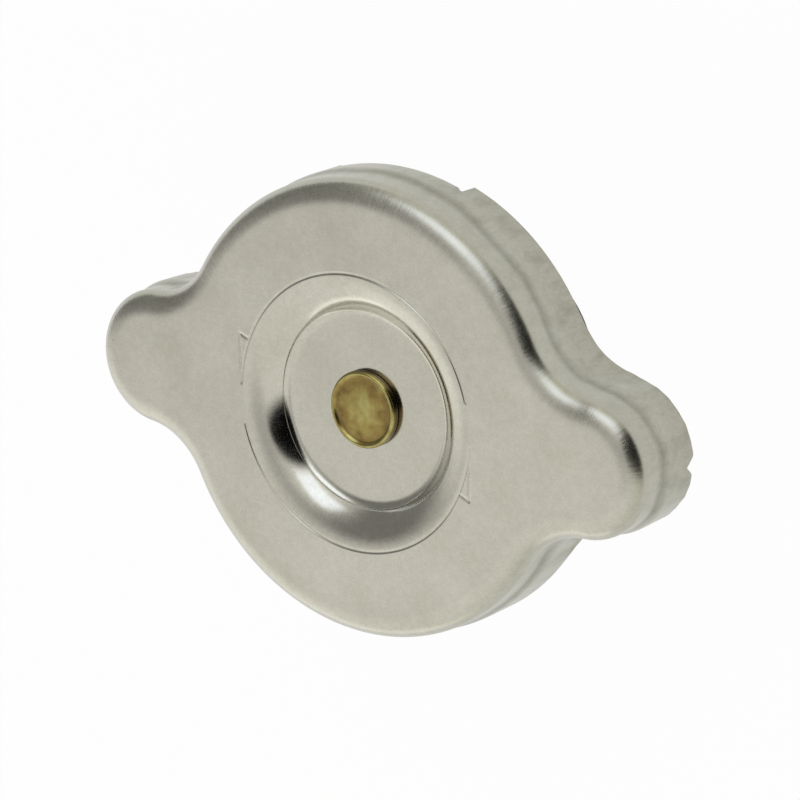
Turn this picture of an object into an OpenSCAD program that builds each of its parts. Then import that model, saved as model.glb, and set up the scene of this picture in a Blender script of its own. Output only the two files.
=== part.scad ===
// Bayonet pressure cap for a radiator filler neck, in millimetres.
// Z runs up the cap's axis from the gasket's sealing face, X along the two grip ears.

/* [Crown] */
// Thickness of the crown's pressed steel sheet
sheet_t = 0.9; // [0.7:0.05:1.2]
// Radius of the round part of the crown, above the step in its wall
body_r = 29.6; // [28:0.1:33]
// Radius of each ear's round end
ear_r = 9; // [7.5:0.1:10.5]
// Distance from the axis to the middle of an ear's round end
ear_x = 33.5; // [31:0.1:38]
// Radius of the hollow curve between body and ear
blend_r = 10; // [7:0.1:14]
// Radius of the rolled edge between top and wall
shoulder_r = 2.4; // [1.6:0.1:3]
// How much thinner the drawn sheet is on each side in the hollow curves
draw_thin = 0.02; // [0.02:0.01:0.05]
// How far the thinner sheet runs in onto the top there
draw_strip = 0.5; // [0.3:0.1:1]
// Height of the crown from its top face to the edge of its wall
skirt_h = 11.6; // [10.5:0.1:14]
// Depth below the top face where the wall steps out
step_top = 5; // [4:0.1:6]
// Height of the step in the wall
step_h = 1.2; // [0.8:0.1:1.6]
// How far the wall steps out
step_out = 0.45; // [0.2:0.05:0.6]

/* [Dish] */
// Radius where the top face begins to roll down into the dish
dish_r = 17.9; // [16.5:0.1:19]
// Radius of the crease around the foot of the dish slope
crease_r = 12.9; // [11.5:0.1:14]
// Depth of the crease below the top face
crease_drop = 2.5; // [2:0.1:3]
// Radius of the hollow curve between crease and floor
crease_corner_r = 2.5; // [2:0.1:3]
// Depth of the dish floor below the top face
floor_drop = 3; // [2.9:0.05:3.2]

/* [Bayonet lugs] */
// Direction of the first lug's middle, from +X
lug_mid = 92; // [80:1:100]
// Angle that one lug covers
lug_angle = 36; // [24:1:44]
// Width of the slot at each end of a lug
lug_slot = 1.2; // [0.8:0.1:2]
// Distance from the axis to a lug's inner edge
lug_in_r = 25.7; // [25:0.1:27]
// Height of a lug's underside above the edge of the wall
lug_rise = 1.1; // [0.5:0.1:2]
// Inner radius of the fold between wall and lug
lug_fold_r = 0.8; // [0.5:0.1:1.2]
// Depth of the notch under each ear's tip
tip_notch_h = 1.4; // [0.8:0.1:2]
// Width of that notch at the edge
tip_notch_w = 2.2; // [1.4:0.1:3]

/* [Rivet] */
// Radius of the rivet's head
rivet_head_r = 5; // [4.4:0.1:6]
// Height of the rivet's head
rivet_head_h = 1.05; // [0.9:0.05:1.6]
// Width of the round bead along the head's edge
rivet_bead_w = 0.7; // [0.5:0.1:0.8]
// Height of the low dome inside the bead
rivet_dome_h = 0.2; // [0.1:0.05:0.3]
// Radius of the part on which the crown turns
pivot_r = 3.4; // [3:0.1:4]
// Radius of the shank below it
shank_r = 2.4; // [2:0.1:2.8]
// Radius of the upset tail
tail_r = 4; // [3.4:0.1:4.8]
// Height of the upset tail
tail_h = 1; // [0.8:0.1:1.4]
// Radius of the rounded edge of the tail
tail_round_r = 0.5; // [0.3:0.1:0.7]
// Running clearance of the crown around the rivet
pivot_gap = 0.05; // [0.03:0.01:0.1]
// Play of the crown along the rivet, on each side
swivel_play = 0.1; // [0.05:0.05:0.2]

/* [Neck seal] */
// Height of the neck's rim above the gasket's sealing face
neck_reach = 26.9; // [25:0.1:29]
// Outer radius of the spring diaphragm
diaphragm_r = 25.2; // [24:0.1:25.2]
// Thickness of the diaphragm
diaphragm_t = 0.5; // [0.3:0.05:0.7]
// Height of the diaphragm's middle above its rim
diaphragm_rise = 1.3; // [0.8:0.1:2]
// Width of the diaphragm's flat rim
diaphragm_rim_w = 3.7; // [3:0.1:4.5]

/* [Spring seat and hanger] */
// Inner radius of the bends in the pressed pieces
bend_r = 0.3; // [0.2:0.05:0.4]
// Thickness of the spring seat
seat_t = 0.8; // [0.6:0.05:1]
// Depth of the spring seat's edge
seat_lip_h = 2.3; // [1.8:0.1:3]
// Thickness of the hanger's sheet
hanger_t = 0.7; // [0.5:0.05:0.9]
// Outer radius of the hanger's tube
hanger_r = 6.5; // [5.5:0.1:7]
// Outer radius of the hanger's brim
hanger_brim_r = 8.2; // [7.8:0.1:8.8]

/* [Pressure valve] */
// Height of the valve turret above the valve plate
turret_h = 12.2; // [10:0.1:14]
// Thickness of the turret's sheet
turret_t = 0.7; // [0.5:0.05:0.9]
// Thickness of the valve plate
plate_t = 0.7; // [0.5:0.05:0.9]
// Depth of the valve plate's edge around the gasket
plate_lip_h = 2.2; // [1.6:0.1:2.6]
// Number of flow holes in the valve plate
flow_holes = 6; // [3:1:8]
// Radius of a flow hole
flow_hole_r = 0.9; // [0.6:0.05:1]
// Play between pieces that slide in one another
slide_gap = 0.4; // [0.3:0.05:0.5]
// Gap between the turret's lip and the hanger's brim
hang_gap = 0.05; // [0.02:0.01:0.1]

/* [Gasket] */
// Outer radius of the gasket
gasket_r = 14.6; // [13.8:0.1:16]
// Thickness of the gasket
gasket_t = 3; // [2.6:0.1:3.6]
// How far the gasket's bead stands out past the valve plate
gasket_bead = 0.4; // [0.2:0.1:0.8]
// Depth of the recess for the vacuum disc
gasket_recess = 1.6; // [1.5:0.1:1.8]
// Radius of the flow opening through the gasket
gasket_bore_r = 5.6; // [5:0.1:6.4]
// Clearance between gasket and metal
gasket_gap = 0.1; // [0.05:0.05:0.2]

/* [Pressure spring] */
// Wire diameter of the pressure spring
spring_wire = 2; // [1.6:0.1:2.2]
// Number of turns
spring_turns = 6.5; // [5:0.5:7]

/* [Vacuum valve] */
// Radius of the vacuum disc
disc_r = 8.2; // [7.4:0.1:8.8]
// Thickness of the vacuum disc
disc_t = 0.75; // [0.5:0.05:0.9]
// Radius of the stem
stem_r = 1.2; // [0.9:0.05:1.4]
// Running clearance of the stem in the valve plate
stem_gap = 0.08; // [0.05:0.01:0.1]
// Radius of the stem's heads
stem_head_r = 2.1; // [1.8:0.1:2.4]
// Height of each of the stem's heads
stem_head_h = 0.45; // [0.3:0.05:0.6]
// Radius of the keeper washer
keeper_r = 3; // [2.8:0.1:3.6]
// Thickness of the keeper washer
keeper_t = 0.6; // [0.4:0.05:0.8]
// Wire diameter of the vacuum spring
vacuum_wire = 0.6; // [0.4:0.05:0.7]
// Length of the vacuum spring
vacuum_spring_h = 4.9; // [4.2:0.1:5.5]
// Number of turns
vacuum_turns = 5; // [4:0.5:5.5]

/* [Hidden] */
$fn = 96;
// Clears a face that a cut passes through
eps = 1;
// Places of the hollow curves' centres
body_blend = body_r + blend_r;
ear_blend = ear_r + blend_r;
blend_x = (body_blend * body_blend - ear_blend * ear_blend + ear_x * ear_x) / (2 * ear_x);
blend_y = sqrt(body_blend * body_blend - blend_x * blend_x);
// Levels of the clamped stack, from the neck's rim up to the top face
diaphragm_under = neck_reach + diaphragm_rise;
diaphragm_top = diaphragm_under + diaphragm_t;
floor_under = diaphragm_top + swivel_play;
floor_top = floor_under + sheet_t;
top_z = floor_top + floor_drop;
edge_z = top_z - skirt_h;
head_under = floor_top + swivel_play;
seat_under = diaphragm_under - seat_t;
hanger_under = seat_under - hanger_t;
tail_under = hanger_under - tail_h;
// Levels of the valve, from the gasket up
plate_top = gasket_t + plate_t;
flange_top = plate_top + turret_t;
turret_top = plate_top + turret_h;
brim_top = turret_top - turret_t - hang_gap;
// Radii that follow from the pieces inside one another
turret_in_r = hanger_brim_r + slide_gap;
turret_r = turret_in_r + turret_t;
turret_lip_r = hanger_r + slide_gap;
spring_in_r = turret_r + 2 * slide_gap;
spring_r = spring_in_r + spring_wire / 2;
spring_out_r = spring_in_r + spring_wire;
flange_r = spring_out_r + slide_gap;
seat_lip_in_r = spring_out_r + slide_gap;
plate_r = gasket_r - gasket_bead;
gasket_seat_r = plate_r - plate_t - gasket_gap;
recess_r = disc_r + 3 * slide_gap;
vacuum_spring_r = stem_r + slide_gap + vacuum_wire;
flow_ring_r = vacuum_spring_r + vacuum_wire / 2 + flow_hole_r + gasket_gap;
// Levels of the vacuum valve
disc_top = gasket_recess;
disc_under = disc_top - disc_t;
keeper_under = plate_top + vacuum_spring_h;
keeper_top = keeper_under + keeper_t;
// Arc of the dish slope, level with the top face at dish_r and ending at the crease
slope_run = dish_r - crease_r;
slope_r = (slope_run * slope_run + crease_drop * crease_drop) / (2 * crease_drop);
// Hollow curve from the crease down to the floor
corner_rise = crease_corner_r - floor_drop + crease_drop;
corner_run = sqrt(crease_corner_r * crease_corner_r - corner_rise * corner_rise);
// Wall below the step, and the fold of the lugs
wall_r = body_r + step_out;
wall_in_r = wall_r - sheet_t;
lug_under = edge_z + lug_rise;
lug_top = lug_under + sheet_t;
fold_top = lug_top + lug_fold_r;
fold_r = wall_in_r - lug_fold_r;
slot_angle = lug_slot / wall_r * 180 / PI;

steel = "#bab8ac";
bright_steel = "#c4c6c6";
brass = "#958b5b";
rubber = "#2c2b27";

// Both halves of what is the same after half a turn
module both() {
    for (turn = [0, 180]) rotate(turn) children();
}

// Both sides of what is the same across the plane of the ears
module mirrored() {
    children();
    mirror([0, 1, 0]) children();
}

// Section of the top, its rolled edge and the stepped wall. The wall above the step stands at x = wall,
// the top starts at x = start, and each side of the sheet may be thinned.
module sheet_section(wall, start, thin = 0) {
    translate([start, top_z - sheet_t + thin]) square([wall - shoulder_r - start, sheet_t - 2 * thin]);
    translate([wall - shoulder_r, top_z - shoulder_r]) intersection() {
        difference() {
            circle(shoulder_r - thin);
            circle(shoulder_r - sheet_t + thin);
        }
        square(shoulder_r);
    }
    translate([wall, 0]) polygon([
        [-thin, top_z - shoulder_r], [-thin, top_z - step_top],
        [step_out - thin, top_z - step_top - step_h], [step_out - thin, edge_z],
        [step_out - sheet_t + thin, edge_z], [step_out - sheet_t + thin, top_z - step_top - step_h],
        [-sheet_t + thin, top_z - step_top], [-sheet_t + thin, top_z - shoulder_r]
    ]);
}

// Full-height prism over a plan shape, to part the crown where its arcs meet
module over(points) {
    linear_extrude(2 * top_z) polygon(points);
}

// Round body of the crown between the ears
module body_sector() {
    difference() {
        rotate_extrude() sheet_section(body_r, dish_r);
        both() over([[0, 0], [blend_x, -blend_y], [2 * ear_x, 0], [blend_x, blend_y]]);
    }
}

// Round end of an ear
module ear_sector() {
    difference() {
        translate([ear_x, 0, 0]) rotate_extrude() sheet_section(ear_r, 0);
        over([[ear_x, 0], [blend_x, blend_y], [0, blend_y], [0, -blend_y], [blend_x, -blend_y]]);
    }
}

// Hollow curve between body and ear, where the drawn sheet is a little thinner
module blend_sector() {
    corner = [blend_x, blend_y, 0];
    intersection() {
        translate(corner) rotate_extrude()
            translate([blend_r, 0]) mirror([1, 0]) sheet_section(0, -shoulder_r - draw_strip, draw_thin);
        over([[0, 0], [ear_x, 0], [blend_x, blend_y]]);
    }
    difference() {
        translate([0, 0, top_z - sheet_t]) linear_extrude(sheet_t)
            polygon([[0, 0], [ear_x, 0], [blend_x, blend_y]]);
        translate(corner) cylinder(r = blend_r + shoulder_r + draw_strip, h = 2 * top_z);
        cylinder(r = dish_r, h = 2 * top_z);
    }
}

// Part of a sheet bent about a centre: its inner radius is in_r, and the sides of the bend run
// from the centre in the two given directions
module sheet_arc(centre, in_r, from, to) {
    translate(centre) intersection() {
        difference() {
            circle(in_r + sheet_t);
            circle(in_r);
        }
        polygon([[0, 0], 2 * from, 2 * (from + to), 2 * to]);
    }
}

// Dish: slope down to the crease, hollow curve and flat floor with the rivet's hole
module dish() {
    slope_end = [-slope_run, slope_r - crease_drop];
    corner_end = [corner_run, -corner_rise];
    crease = [crease_r, top_z - crease_drop];
    flat_r = crease_r - corner_run;
    rotate_extrude() {
        sheet_arc([dish_r, top_z - slope_r], slope_r - sheet_t, [0, slope_r], slope_end);
        sheet_arc([flat_r, floor_top + crease_corner_r], crease_corner_r, [0, -crease_corner_r], corner_end);
        translate(crease) intersection() {
            circle(sheet_t);
            polygon([[0, 0], -slope_end, -slope_end + corner_end, corner_end]);
        }
        translate([pivot_r + pivot_gap, floor_under]) square([flat_r - pivot_r - pivot_gap, sheet_t]);
    }
}

// Part of a ring of the given section, centred on the lug's middle
module lug_arc(angle) {
    rotate_extrude(angle = angle, start = lug_mid - angle / 2) children();
}

// Lug folded in from the wall, with its round fold
module lug() {
    lug_arc(lug_angle) {
        translate([lug_in_r, lug_under]) square([fold_r - lug_in_r, sheet_t]);
        translate([fold_r, fold_top]) intersection() {
            difference() {
                circle(lug_fold_r + sheet_t);
                circle(lug_fold_r);
            }
            mirror([0, 1]) square(lug_fold_r + sheet_t);
        }
    }
}

// Room that a lug and its slots take out of the wall
module lug_room() {
    lug_arc(lug_angle + 2 * slot_angle)
        translate([fold_r, edge_z - eps]) square([wall_r + eps - fold_r, fold_top - edge_z + eps]);
}

// Notch in the edge under an ear's tip
module tip_notch() {
    translate([ear_x, 0, edge_z]) rotate([90, 0, 90]) linear_extrude(2 * ear_r)
        polygon([[-tip_notch_w / 2, -eps], [tip_notch_w / 2, -eps], [tip_notch_w / 2, 0],
            [0, tip_notch_h], [-tip_notch_w / 2, 0]]);
}

// Crown: one piece of pressed sheet
module shell() {
    color(steel) {
        difference() {
            union() {
                dish();
                body_sector();
                both() {
                    ear_sector();
                    mirrored() blend_sector();
                }
            }
            both() lug_room();
            both() tip_notch();
        }
        both() lug();
    }
}

// Shouldered rivet on which the crown turns, with a beaded, domed head and an upset tail
module rivet() {
    bead_r = rivet_bead_w / 2;
    bead_z = head_under + rivet_head_h - bead_r;
    face_r = rivet_head_r - bead_r;
    dome_r = (face_r * face_r + rivet_dome_h * rivet_dome_h) / (2 * rivet_dome_h);
    color(brass) rotate_extrude() {
        translate([0, head_under]) square([rivet_head_r, bead_z - head_under]);
        translate([face_r, bead_z]) circle(bead_r);
        intersection() {
            translate([0, bead_z + rivet_dome_h - dome_r]) circle(dome_r, $fn = 4 * $fn);
            translate([0, bead_z]) square([face_r, rivet_dome_h]);
        }
        translate([0, diaphragm_top]) square([pivot_r, head_under - diaphragm_top]);
        translate([0, hanger_under]) square([shank_r, diaphragm_top - hanger_under]);
        translate([0, tail_under + tail_round_r]) square([tail_r, tail_h - tail_round_r]);
        translate([0, tail_under]) square([tail_r - tail_round_r, tail_round_r]);
        translate([tail_r - tail_round_r, tail_under + tail_round_r]) circle(tail_round_r);
    }
}

// Ring turned about the axis from the points of its section
module turned(points) {
    rotate_extrude() polygon(points);
}

// Quarter bend in the section of a pressed sheet, in the quadrant that starts at the given turn
module bend(centre, thick, turn) {
    translate(centre) intersection() {
        difference() {
            circle(bend_r + thick);
            circle(bend_r);
        }
        rotate(turn) square(bend_r + thick);
    }
}

// Straight run of a sheet's section between two corners
module run(low, high) {
    translate(low) square(high - low);
}

// Diaphragm: flat middle, shallow cone and flat rim that seals on the neck
module diaphragm() {
    flat_r = seat_lip_in_r + seat_t + slide_gap;
    rim_r = diaphragm_r - diaphragm_rim_w;
    color(bright_steel) turned([
        [shank_r, diaphragm_under], [flat_r, diaphragm_under], [rim_r, neck_reach],
        [diaphragm_r, neck_reach], [diaphragm_r, neck_reach + diaphragm_t],
        [rim_r, neck_reach + diaphragm_t], [flat_r, diaphragm_top], [shank_r, diaphragm_top]
    ]);
}

// Spring seat: plate with an edge turned down around the spring's top turn
module spring_seat() {
    out_r = seat_lip_in_r + seat_t;
    flat_r = seat_lip_in_r - bend_r;
    bend_z = seat_under - bend_r;
    color(steel) rotate_extrude() {
        run([shank_r, seat_under], [flat_r, diaphragm_under]);
        bend([flat_r, bend_z], seat_t, 0);
        run([seat_lip_in_r, diaphragm_under - seat_lip_h], [out_r, bend_z]);
    }
}

// Hanger: drawn tube that hangs from the rivet and carries the turret on its brim
module hanger() {
    in_r = hanger_r - hanger_t;
    top_bend = hanger_under - bend_r;
    brim_bend = brim_top + bend_r;
    color(steel) rotate_extrude() {
        run([shank_r, hanger_under], [in_r - bend_r, seat_under]);
        bend([in_r - bend_r, top_bend], hanger_t, 0);
        run([in_r, brim_bend], [hanger_r, top_bend]);
        bend([hanger_r + bend_r, brim_bend], hanger_t, 180);
        run([hanger_r + bend_r, brim_top - hanger_t], [hanger_brim_r, brim_top]);
    }
}

// Turret: drawn tube with a flange under the spring and a lip over the hanger's brim
module valve_turret() {
    flange_bend = flange_top + bend_r;
    lip_under = turret_top - turret_t;
    color(steel) rotate_extrude() {
        run([turret_r + bend_r, plate_top], [flange_r, flange_top]);
        bend([turret_r + bend_r, flange_bend], turret_t, 180);
        run([turret_in_r, flange_bend], [turret_r, lip_under - bend_r]);
        bend([turret_in_r - bend_r, lip_under - bend_r], turret_t, 0);
        run([turret_lip_r, lip_under], [turret_in_r - bend_r, turret_top]);
    }
}

// Valve plate: disc with its edge turned down around the gasket, a stem hole and flow holes
module valve_plate() {
    lip_in_r = plate_r - plate_t;
    color(brass) difference() {
        rotate_extrude() {
            run([stem_r + stem_gap, gasket_t], [lip_in_r - bend_r, plate_top]);
            bend([lip_in_r - bend_r, gasket_t - bend_r], plate_t, 0);
            run([lip_in_r, plate_top - plate_lip_h], [plate_r, gasket_t - bend_r]);
        }
        for (i = [0 : flow_holes - 1]) rotate(i * 360 / flow_holes)
            translate([flow_ring_r, 0, gasket_t - eps]) cylinder(r = flow_hole_r, h = plate_t + 2 * eps);
    }
}

// Gasket: thick outer land that seals in the neck, and a recessed inner land for the vacuum disc
module gasket() {
    bead_top = plate_top - plate_lip_h - gasket_gap;
    corner = bend_r + gasket_gap;
    color(rubber) rotate_extrude() {
        polygon([
            [recess_r, 0], [gasket_r - gasket_bead, 0], [gasket_r - gasket_bead, gasket_bead],
            [gasket_r, gasket_bead], [gasket_r, bead_top], [gasket_seat_r, bead_top],
            [gasket_seat_r, gasket_t - corner], [gasket_seat_r - corner, gasket_t], [gasket_bore_r, gasket_t],
            [gasket_bore_r, gasket_recess], [recess_r, gasket_recess]
        ]);
        translate([gasket_r - gasket_bead, gasket_bead]) circle(gasket_bead);
    }
}

// Vacuum disc, which closes the gasket's bore from below
module vacuum_disc() {
    color(brass) turned([
        [stem_r, disc_under], [disc_r, disc_under], [disc_r, disc_top], [stem_r, disc_top]
    ]);
}

// Stem with a head under the disc and a head over the keeper
module vacuum_stem() {
    color(brass) {
        translate([0, 0, disc_under - stem_head_h]) cylinder(r = stem_head_r, h = stem_head_h);
        translate([0, 0, disc_under - stem_head_h])
            cylinder(r = stem_r, h = keeper_top + 2 * stem_head_h - disc_under);
        translate([0, 0, keeper_top]) cylinder(r = stem_head_r, h = stem_head_h);
    }
}

// Keeper washer at the top of the vacuum spring
module vacuum_keeper() {
    color(brass) turned([
        [stem_r, keeper_under], [keeper_r, keeper_under], [keeper_r, keeper_top], [stem_r, keeper_top]
    ]);
}

// Height of a coil's wire after t turns: each end lies flat, then closes on the next turn
function coil_rise(t, turns, wire, rise) =
    let (flat = 0.55, closed = 1.04 * wire)
    t > turns / 2 ? rise - coil_rise(turns - t, turns, wire, rise)
    : t < flat ? 0
    : t < 1 ? closed * (t - flat) / (1 - flat)
    : closed + (t - 1) * (rise - 2 * closed) / (turns - 2);

// Coil spring of round wire, standing on z = 0
module coil(r, wire, height, turns, steps, sides) {
    rings = round(turns * steps);
    points = [for (i = [0 : rings], s = [0 : sides - 1])
        let (
            t = i * turns / rings,
            a = 360 * s / sides,
            out = r + wire / 2 * cos(a),
            up = wire / 2 * (1 + sin(a)) + coil_rise(t, turns, wire, height - wire)
        )
        [out * cos(360 * t), out * sin(360 * t), up]];
    skin = [for (i = [0 : rings - 1], s = [0 : sides - 1])
        let (n = (s + 1) % sides, a = i * sides, b = a + sides)
        [a + s, a + n, b + n, b + s]];
    first = [for (s = [0 : sides - 1]) sides - 1 - s];
    last = [for (s = [0 : sides - 1]) rings * sides + s];
    polyhedron(points, concat(skin, [first, last]), convexity = 12);
}

// Pressure spring, from the turret's flange up to the spring seat
module pressure_spring() {
    color(bright_steel) translate([0, 0, flange_top])
        coil(spring_r, spring_wire, seat_under - flange_top, spring_turns, 24, 10);
}

// Vacuum spring, from the valve plate up to the keeper
module vacuum_spring() {
    color(bright_steel) translate([0, 0, plate_top])
        coil(vacuum_spring_r, vacuum_wire, vacuum_spring_h, vacuum_turns, 16, 8);
}

shell();
rivet();
diaphragm();
spring_seat();
hanger();
pressure_spring();
valve_turret();
valve_plate();
gasket();
vacuum_disc();
vacuum_stem();
vacuum_spring();
vacuum_keeper();
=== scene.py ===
"""Radiator pressure cap: a pressed steel crown on a brass rivet, with the sprung valve below it.
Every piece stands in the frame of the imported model, in metres, with its sizes given in millimetres."""

import math

import bmesh
import bpy
import numpy as np
from mathutils import Matrix, Vector


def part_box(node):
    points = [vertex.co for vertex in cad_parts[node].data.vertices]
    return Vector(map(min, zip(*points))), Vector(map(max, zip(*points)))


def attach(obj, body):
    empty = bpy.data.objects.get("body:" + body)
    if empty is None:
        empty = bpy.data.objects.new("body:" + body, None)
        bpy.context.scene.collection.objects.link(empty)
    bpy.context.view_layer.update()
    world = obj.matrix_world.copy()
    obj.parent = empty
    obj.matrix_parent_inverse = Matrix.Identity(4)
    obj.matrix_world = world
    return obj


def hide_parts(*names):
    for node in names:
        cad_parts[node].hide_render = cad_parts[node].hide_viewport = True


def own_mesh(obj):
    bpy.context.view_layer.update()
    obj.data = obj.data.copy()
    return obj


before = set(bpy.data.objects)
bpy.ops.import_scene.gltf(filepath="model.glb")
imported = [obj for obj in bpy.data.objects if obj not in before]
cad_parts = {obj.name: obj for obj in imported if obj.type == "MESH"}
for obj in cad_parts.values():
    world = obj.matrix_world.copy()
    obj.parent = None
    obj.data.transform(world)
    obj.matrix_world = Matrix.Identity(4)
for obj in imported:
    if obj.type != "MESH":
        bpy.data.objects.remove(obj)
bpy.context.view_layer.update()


# Crown: the cap's cover and grip, one piece of mild steel sheet, drawn to a cup with two ears and
# tin plated. The dish is pressed into its middle, the turn arrows are struck into the ring around
# the dish, and two lugs of the wall are cut free and folded in to catch under the filler neck.
def extent(node):
    """Reach along X, lowest level and highest level of a solid of the frame, in millimetres."""
    low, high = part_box(node)
    return [round(value * 1000, 2) for value in (high.x, low.z, high.z)]


reach, EDGE, TOP = extent("shell")
SHEET = 0.9
BODY_R, EAR_R, BLEND_R, ROLL_IN, ROLL_DOWN = 29.6, 9.0, 10.0, 3.2, 2.5
STEP_TOP, STEP_LOW, STEP_OUT = 4.5, 6.7, 0.45
EAR_X = reach - EAR_R - STEP_OUT
DISH_R, CREASE_R, CREASE_DROP, FLOOR_DROP, CORNER_R = 17.9, 12.9, 2.5, 3.0, 2.5
FLOOR = TOP - FLOOR_DROP
HOLE_R = 3.45
LUG_FROM, LUG_TO, LUG_IN_R, LUG_FOLD, LUG_UNDER = 74.0, 110.0, 25.7, 0.8, 22.2
SLOT_ANGLE = math.degrees(1.2 / (BODY_R + STEP_OUT))
NOTCH_W, NOTCH_H, NOTCH_ROUND = 2.2, 1.4, 0.25
EDGE_CHAMFER = 0.15
PUCKER, PUCKER_LENGTH, LIP_OUT, LIP_H = 0.16, 4.2, 0.3, 1.0
ROLL_LEAD, ROLL_END, STEP_END = 0.4, 3.4, 7.8
FLAT_TOP_R, FLAT_UNDER_R = 21.0, 20.0
ARROW_W, ARROW_DEPTH, BARB_OUT = 0.25, 0.11, 1.7
ARROW_TURNS = ((16.5, 159.5, 179.0), (195.8, 338.0, 358.3))
DISH_COLUMNS, FLOOR_COLUMNS, SEAM_TURN = 720, 240, -130
FACE_FLOW, DISH_FLOW = -8.0, -40.0


def colour(code):
    """Linear RGBA of an sRGB hex colour."""
    channels = [int(code[i:i + 2], 16) / 255 for i in (1, 3, 5)]
    return [c / 12.92 if c <= 0.04045 else ((c + 0.055) / 1.055) ** 2.4 for c in channels] + [1.0]


def add(tree, kind, inputs=None, stops=(), **settings):
    """Adds a node with its settings, ramp stops and links; an input takes a value, a socket, or a
    node whose first output is linked."""
    node = tree.nodes.new(kind)
    for name, value in settings.items():
        setattr(node, name, value)
    while stops and len(node.color_ramp.elements) < len(stops):
        node.color_ramp.elements.new(0.5)
    for i, (position, code) in enumerate(stops):
        node.color_ramp.elements[i].position = position
        node.color_ramp.elements[i].color = colour(code)
    for name, value in (inputs or {}).items():
        if isinstance(value, bpy.types.Node):
            value = value.outputs[0]
        if isinstance(value, bpy.types.NodeSocket):
            tree.links.new(value, node.inputs[name])
        else:
            node.inputs[name].default_value = value
    return node


def finish_named(name, metallic):
    """Empty material with its node tree, its shader and the piece's own coordinates in millimetres."""
    material = bpy.data.materials.new(name)
    material.use_nodes = True
    tree = material.node_tree
    shader = tree.nodes["Principled BSDF"]
    shader.inputs["Metallic"].default_value = metallic
    place = add(tree, "ShaderNodeTexCoord")
    mm = add(tree, "ShaderNodeMapping",
             {"Vector": place.outputs["Object"], "Scale": (1000, 1000, 1000)})
    return material, tree, shader, mm


def surface(tree, shader, shade, gloss, height):
    """Links colour, roughness and a relief in millimetres to a shader."""
    relief = add(tree, "ShaderNodeBump", {"Height": height, "Strength": 1.0, "Distance": 0.001})
    for source, name in ((shade, "Base Color"), (gloss, "Roughness"), (relief, "Normal")):
        tree.links.new(source.outputs[0] if isinstance(source, bpy.types.Node) else source,
                       shader.inputs[name])


def mesh_piece(name, points, faces, material, sharp=35, flow=None, around=1.0):
    """Closed mesh from points in millimetres, with outward faces, smooth but for its sharp edges.
    flow gives each point's place on the drawn sheet, which meets itself after the length around."""
    shape = bmesh.new()
    corners = [shape.verts.new(Vector(p) * 0.001) for p in points]
    shape.verts.index_update()
    drawn = shape.loops.layers.uv.new("drawn_sheet") if flow else None
    for face in faces:
        made = shape.faces.new([corners[i] for i in face])
        if flow:
            first = flow[face[0]][0]
            for loop in made.loops:
                u, v = flow[loop.vert.index]
                loop[drawn].uv = (u + around * round((first - u) / around), v)
    bmesh.ops.delete(shape, geom=[v for v in shape.verts if not v.link_faces], context="VERTS")
    bmesh.ops.recalc_face_normals(shape, faces=shape.faces)
    mesh = bpy.data.meshes.new(name)
    shape.to_mesh(mesh)
    shape.free()
    mesh.polygons.foreach_set("use_smooth", [True] * len(mesh.polygons))
    mesh.set_sharp_from_angle(angle=math.radians(sharp))
    mesh.materials.append(material)
    piece = bpy.data.objects.new(name, mesh)
    bpy.context.scene.collection.objects.link(piece)
    return piece


def zip_rings(low, low_turns, high, high_turns):
    """Triangles between two closed rings of points, given each point's angle."""
    order = [(t, 0, i) for i, t in enumerate(low_turns)] + [(t, 1, i) for i, t in enumerate(high_turns)]
    at = [len(low) - 1, len(high) - 1]
    rings = [low, high]
    made = []
    for _, side, i in sorted(order):
        made.append((rings[side][at[side]], rings[side][i], rings[1 - side][at[1 - side]]))
        at[side] = i
    return made


def strip(a, b):
    """Quads between two closed rings with as many points as each other."""
    n = len(a)
    return [(a[i], a[(i + 1) % n], b[(i + 1) % n], b[i]) for i in range(n)]


def soft_step(t):
    """Share from 0 to 1 that starts and ends gently."""
    t = np.clip(t, 0, 1)
    return t * t * (3 - 2 * t)


def span(*stops):
    """Angles from the first stop to the last: stop, count, stop, count, stop, without the last one."""
    pairs = range(0, len(stops) - 2, 2)
    return np.concatenate([np.linspace(stops[i], stops[i + 2], stops[i + 1], endpoint=False)
                           for i in pairs])


blend_x = ((BODY_R + BLEND_R) ** 2 - (EAR_R + BLEND_R) ** 2 + EAR_X ** 2) / (2 * EAR_X)
blend_y = math.sqrt((BODY_R + BLEND_R) ** 2 - blend_x ** 2)
body_turn = math.degrees(math.atan2(blend_y, blend_x))
ear_turn = math.degrees(math.atan2(blend_y, blend_x - EAR_X))


def plan_half():
    """Columns round half of the crown from the tip of one ear: point, normal, kind and angle."""
    slot_a, slot_b = LUG_FROM - SLOT_ANGLE, LUG_TO + SLOT_ANGLE
    body = span(body_turn, 36, slot_a, 3, LUG_FROM, 32, LUG_TO, 3, slot_b, 34, 180 - body_turn)
    made = []
    for kind, cx, cy, r, side, angles in (
        ("ear", EAR_X, 0, EAR_R, 1, span(0, 10, 10, 38, ear_turn)),
        ("hollow", blend_x, blend_y, BLEND_R, -1, span(ear_turn + 180, 28, body_turn + 180)),
        ("body", 0, 0, BODY_R, 1, body),
        ("hollow", -blend_x, blend_y, BLEND_R, -1, span(360 - body_turn, 28, 360 - ear_turn)),
        ("ear", -EAR_X, 0, EAR_R, 1, span(180 - ear_turn, 38, 170, 10, 180)),
    ):
        for a in angles:
            along = np.array([math.cos(math.radians(a)), math.sin(math.radians(a))])
            made.append((np.array([cx, cy]) + r * along, side * along, kind, a))
    return made


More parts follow.
